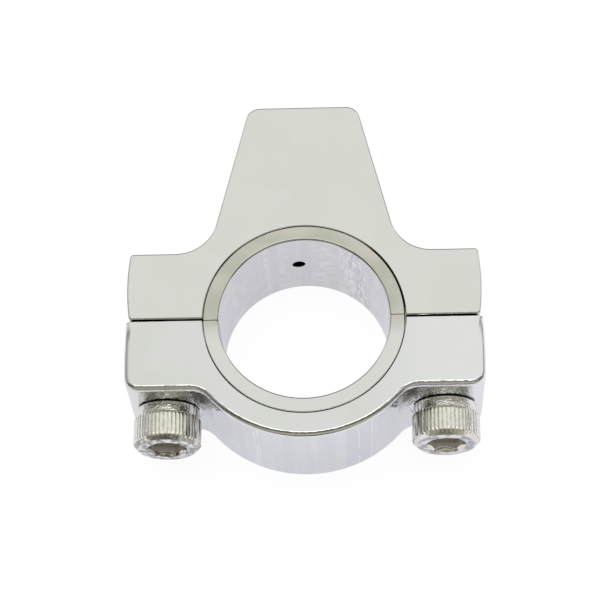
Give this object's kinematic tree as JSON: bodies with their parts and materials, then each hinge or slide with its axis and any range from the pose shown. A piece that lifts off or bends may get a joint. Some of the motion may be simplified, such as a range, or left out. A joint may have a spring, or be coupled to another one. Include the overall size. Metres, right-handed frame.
{
  "type": "mirror mount bracket",
  "caption": "Split handlebar clamp with a lining sleeve, two socket-head screws and a tapered tab tapped for a mirror stem.",
  "frame": {"origin": "centre of the handlebar bore, on its axis and midway between the flat front and back faces", "axes": "+Z along the handlebar bore towards the front face, +Y towards the mirror tab, the screw heads point along -Y"},
  "size_m": [0.0532, 0.0544, 0.017],
  "materials": {
    "clamp_chrome": "polished",
    "sleeve_chrome": "polished",
    "screw_steel": "bright plated"
  },
  "bodies": {
    "root": {"upper_clamp": "clamp_chrome", "lower_clamp": "clamp_chrome", "upper_sleeve": "sleeve_chrome", "lower_sleeve": "sleeve_chrome", "left_screw": "screw_steel", "right_screw": "screw_steel"}
  },
  "joints": []
}
